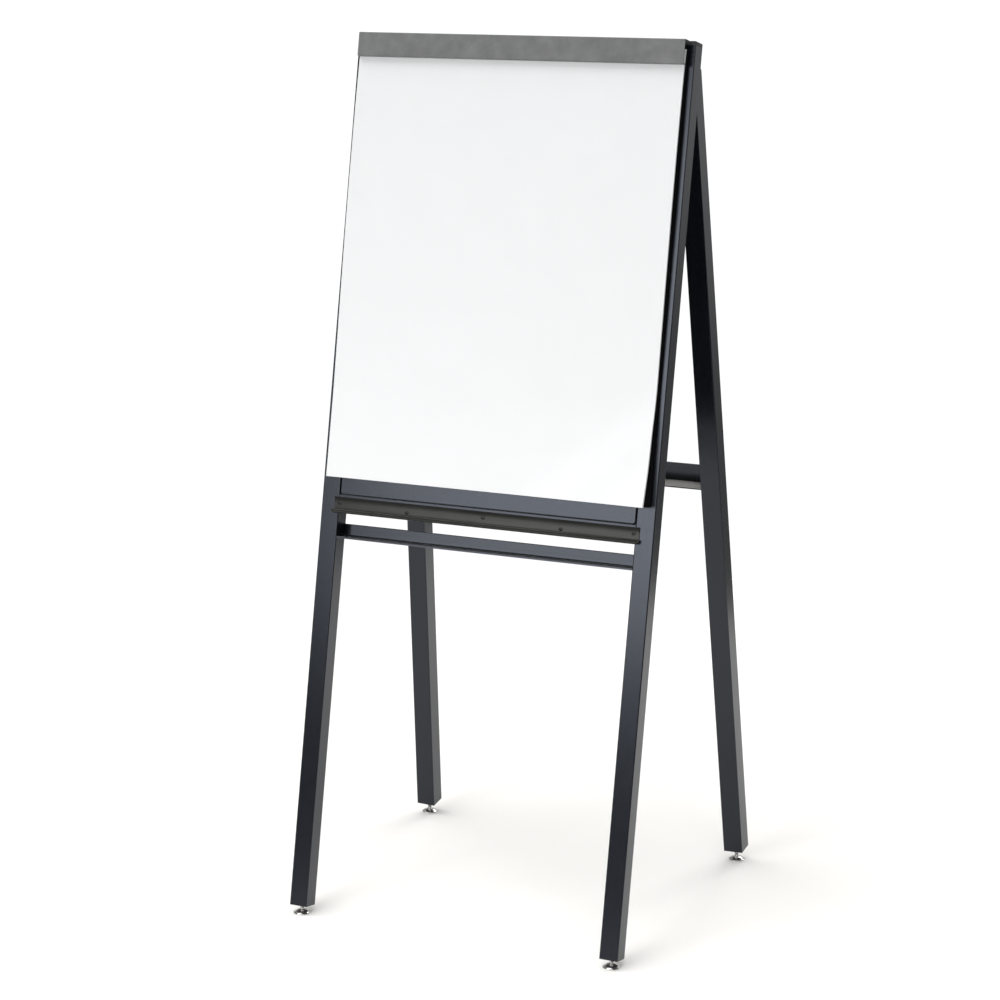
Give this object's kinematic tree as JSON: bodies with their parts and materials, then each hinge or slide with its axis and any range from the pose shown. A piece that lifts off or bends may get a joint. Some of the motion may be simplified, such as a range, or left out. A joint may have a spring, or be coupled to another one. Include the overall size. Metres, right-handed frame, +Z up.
{
  "type": "flipchart easel",
  "caption": "Floor-standing folding flipchart easel: leaning tube frames hinged at the top, pad board with a sprung clamp bar, marker tray and levelling feet.",
  "frame": {"origin": "middle of the footprint, on the floor", "axes": "+Z up, +X to the right of someone who faces the pad, +Y from the pad to the rear legs"},
  "size_m": [0.767, 0.6828, 1.7388],
  "materials": {
    "tube_charcoal": "satin powder coat",
    "panel_charcoal": "satin powder coat",
    "clamp_grey": "fine textured grey coat",
    "tray_grey": "satin grey coat",
    "board_black": "black-faced hardboard",
    "paper_white": "matt",
    "plastic_black": "moulded, matt",
    "screw_black": "black oxide",
    "zinc": "zinc plated",
    "foot_chrome": "bright plated"
  },
  "bodies": {
    "front_frame": {"front_leg_right": "tube_charcoal", "front_leg_left": "tube_charcoal", "front_leg_caps": "plastic_black", "top_rail": "tube_charcoal", "tray_rail": "tube_charcoal", "lower_crossbar": "tube_charcoal", "back_panel": "panel_charcoal", "panel_screws": "screw_black", "backing_board": "board_black", "board_screws": "screw_black", "paper_pad": "paper_white", "pad_top_sheet": "paper_white", "marker_tray": "tray_grey", "tray_screws": "screw_black", "hinge_bracket_right": "tube_charcoal", "hinge_bracket_left": "tube_charcoal", "bracket_bolts": "zinc", "stop_pins": "zinc", "clamp_hinge_leaf": "zinc", "clamp_hinge_screws": "zinc", "clamp_torsion_rod": "zinc", "foot_inserts_front": "plastic_black"},
    "rear_frame": {"rear_leg_right": "tube_charcoal", "rear_leg_left": "tube_charcoal", "rear_leg_caps": "plastic_black", "rear_crossbar": "tube_charcoal", "pivot_bushes": "plastic_black", "pivot_washers": "zinc", "pivot_bolts": "zinc", "foot_inserts_rear": "plastic_black"},
    "clamp": {"clamp_bar": "clamp_grey"},
    "foot_front_right": {"foot_stem_front_right": "foot_chrome"},
    "glide_front_right": {"foot_glide_front_right": "foot_chrome"},
    "foot_front_left": {"foot_stem_front_left": "foot_chrome"},
    "glide_front_left": {"foot_glide_front_left": "foot_chrome"},
    "foot_rear_right": {"foot_stem_rear_right": "foot_chrome"},
    "glide_rear_right": {"foot_glide_rear_right": "foot_chrome"},
    "foot_rear_left": {"foot_stem_rear_left": "foot_chrome"},
    "glide_rear_left": {"foot_glide_rear_left": "foot_chrome"}
  },
  "joints": [
    {"name": "frame_fold", "type": "hinge", "parent": "front_frame", "child": "rear_frame", "pos_m": [0, 0.10943, 1.64382], "axis": [-1, 0, 0], "range_deg": [0, 20]},
    {"name": "clamp_open", "type": "hinge", "parent": "front_frame", "child": "clamp", "pos_m": [0, 0.00624, 1.73095], "axis": [-1, 0, 0], "range_deg": [0, 40], "stiffness_Nm_per_rad": 3.3, "springref_deg": -20.05},
    {"name": "foot_height_front_right", "type": "slide", "parent": "front_frame", "child": "foot_front_right", "axis": [0, -0.2011, -0.9796], "range_m": [0, 0.012]},
    {"name": "glide_tilt_front_right", "type": "hinge", "parent": "foot_front_right", "child": "glide_front_right", "pos_m": [0.33645, -0.324, 0.005], "axis": [1, 0, 0], "range_deg": [-8, 8]},
    {"name": "foot_height_front_left", "type": "slide", "parent": "front_frame", "child": "foot_front_left", "axis": [0, -0.2011, -0.9796], "range_m": [0, 0.012]},
    {"name": "glide_tilt_front_left", "type": "hinge", "parent": "foot_front_left", "child": "glide_front_left", "pos_m": [-0.33645, -0.324, 0.005], "axis": [1, 0, 0], "range_deg": [-8, 8]},
    {"name": "foot_height_rear_right", "type": "slide", "parent": "rear_frame", "child": "foot_rear_right", "axis": [0.0349, 0.1297, -0.9909], "range_m": [0, 0.012]},
    {"name": "glide_tilt_rear_right", "type": "hinge", "parent": "foot_rear_right", "child": "glide_rear_right", "pos_m": [0.36362, 0.324, 0.005], "axis": [1, 0, 0], "range_deg": [-8, 8]},
    {"name": "foot_height_rear_left", "type": "slide", "parent": "rear_frame", "child": "foot_rear_left", "axis": [-0.0349, 0.1297, -0.9909], "range_m": [0, 0.012]},
    {"name": "glide_tilt_rear_left", "type": "hinge", "parent": "foot_rear_left", "child": "glide_rear_left", "pos_m": [-0.36362, 0.324, 0.005], "axis": [1, 0, 0], "range_deg": [-8, 8]}
  ]
}
